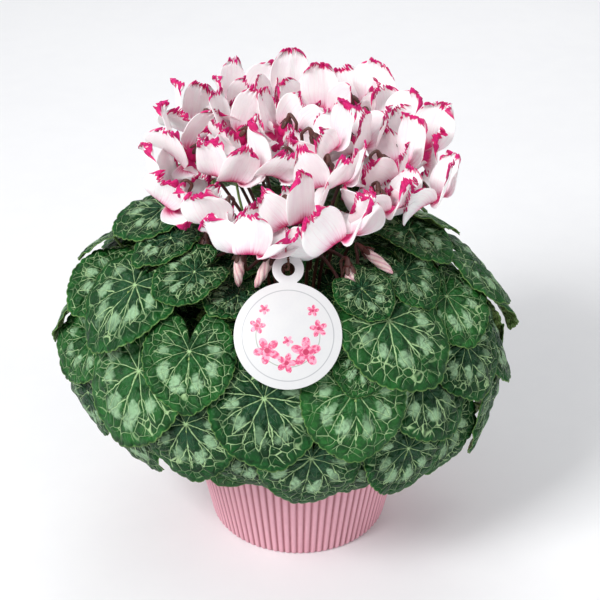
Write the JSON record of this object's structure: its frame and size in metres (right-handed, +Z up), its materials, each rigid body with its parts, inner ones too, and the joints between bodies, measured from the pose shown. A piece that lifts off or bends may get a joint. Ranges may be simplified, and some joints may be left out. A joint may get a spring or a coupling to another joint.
{
  "type": "potted cyclamen",
  "caption": "Flowering cyclamen in a fluted round pot: a dome of marbled heart-shaped leaves under nodding white blooms with crimson-pink fringes, with a round card tag.",
  "frame": {"origin": "centre of the flat foot of the pot, on the surface that it stands on", "axes": "+Z up along the axis of the pot, -Y to the front, where the tag hangs, +X to the right seen from the front"},
  "size_m": [0.3808, 0.3212, 0.3828],
  "materials": {
    "pot": "matte dusty pink, fluted",
    "soil": "dark crumbly potting compost",
    "stalk": "satin brown-red stalks on a rough brown tuber",
    "leaf": "satin dark green with pale veins and silver marbling",
    "petal": "soft white with a crimson-pink fringe and eye",
    "bud": "soft pale pink, rolled",
    "card": "smooth white printed card",
    "tie": "thin brown tie"
  },
  "bodies": {
    "root": {"pot": "pot", "soil": "soil", "tuber_with_stalks": "stalk", "leaves_01": "leaf", "leaves_02": "leaf", "leaves_03": "leaf", "leaves_04": "leaf", "leaves_05": "leaf", "leaves_06": "leaf", "leaves_07": "leaf", "leaves_08": "leaf", "leaves_09": "leaf", "leaves_10": "leaf", "leaves_11": "leaf", "leaves_12": "leaf", "leaves_13": "leaf", "leaves_14": "leaf", "leaves_15": "leaf", "leaves_16": "leaf", "leaves_17": "leaf", "leaves_18": "leaf", "leaves_19": "leaf", "leaves_20": "leaf", "leaves_21": "leaf", "leaves_22": "leaf", "leaves_23": "leaf", "leaves_24": "leaf", "leaves_25": "leaf", "leaves_26": "leaf", "bloom_01": "petal", "bloom_02": "petal", "bloom_03": "petal", "bloom_04": "petal", "bloom_05": "petal", "bloom_06": "petal", "bloom_07": "petal", "bloom_08": "petal", "bloom_09": "petal", "bloom_10": "petal", "bloom_11": "petal", "bloom_12": "petal", "bloom_13": "petal", "bloom_14": "petal", "bloom_15": "petal", "bloom_16": "petal", "bloom_17": "petal", "bloom_18": "petal", "bloom_19": "petal", "bloom_20": "petal", "bloom_21": "petal", "bloom_22": "petal", "bloom_23": "petal", "bloom_24": "petal", "bud_1": "bud", "bud_2": "bud", "bud_3": "bud", "bud_4": "bud", "bud_5": "bud", "tag": "card", "tag_tie": "tie"}
  },
  "joints": []
}
